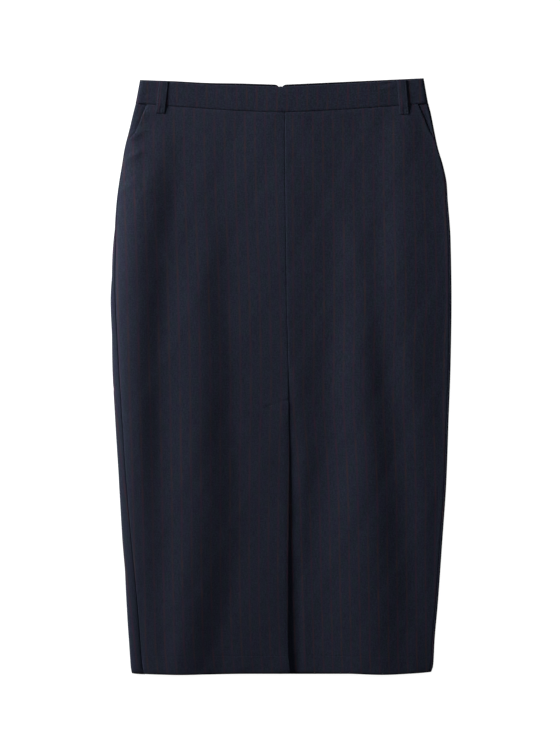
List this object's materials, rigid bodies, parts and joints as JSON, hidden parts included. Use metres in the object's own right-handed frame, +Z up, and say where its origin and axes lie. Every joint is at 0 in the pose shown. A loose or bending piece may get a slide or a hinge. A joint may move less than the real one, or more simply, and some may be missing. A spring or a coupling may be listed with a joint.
{
  "type": "straight midi skirt",
  "caption": "Straight midi skirt laid flat, front up: shaped waistband with belt loops, slanted side pockets, centre front seam over a kick vent, and a hidden centre back zip.",
  "frame": {"origin": "middle of the footprint, on the plane that the skirt lies on", "axes": "+X across the skirt to the right of someone looking down at its front, +Y up the skirt from hem to waist, +Z up from the floor through the back to the front"},
  "size_m": [0.4437, 0.7765, 0.0132],
  "materials": {
    "wool": "fine twill wool with a dull dark red pinstripe",
    "zip_tape": "plain woven tape",
    "zip_metal": "dark navy enamel"
  },
  "bodies": {
    "root": {"front_panel_left": "wool", "front_panel_right": "wool", "back_panel_left": "wool", "back_panel_right": "wool", "waistband_front": "wool", "waistband_back_left": "wool", "waistband_back_right": "wool", "pocket_facing_left": "wool", "pocket_facing_right": "wool", "belt_loop_left": "wool", "belt_loop_right": "wool", "back_zip": "zip_tape", "zip_slider": "zip_metal"}
  },
  "joints": []
}
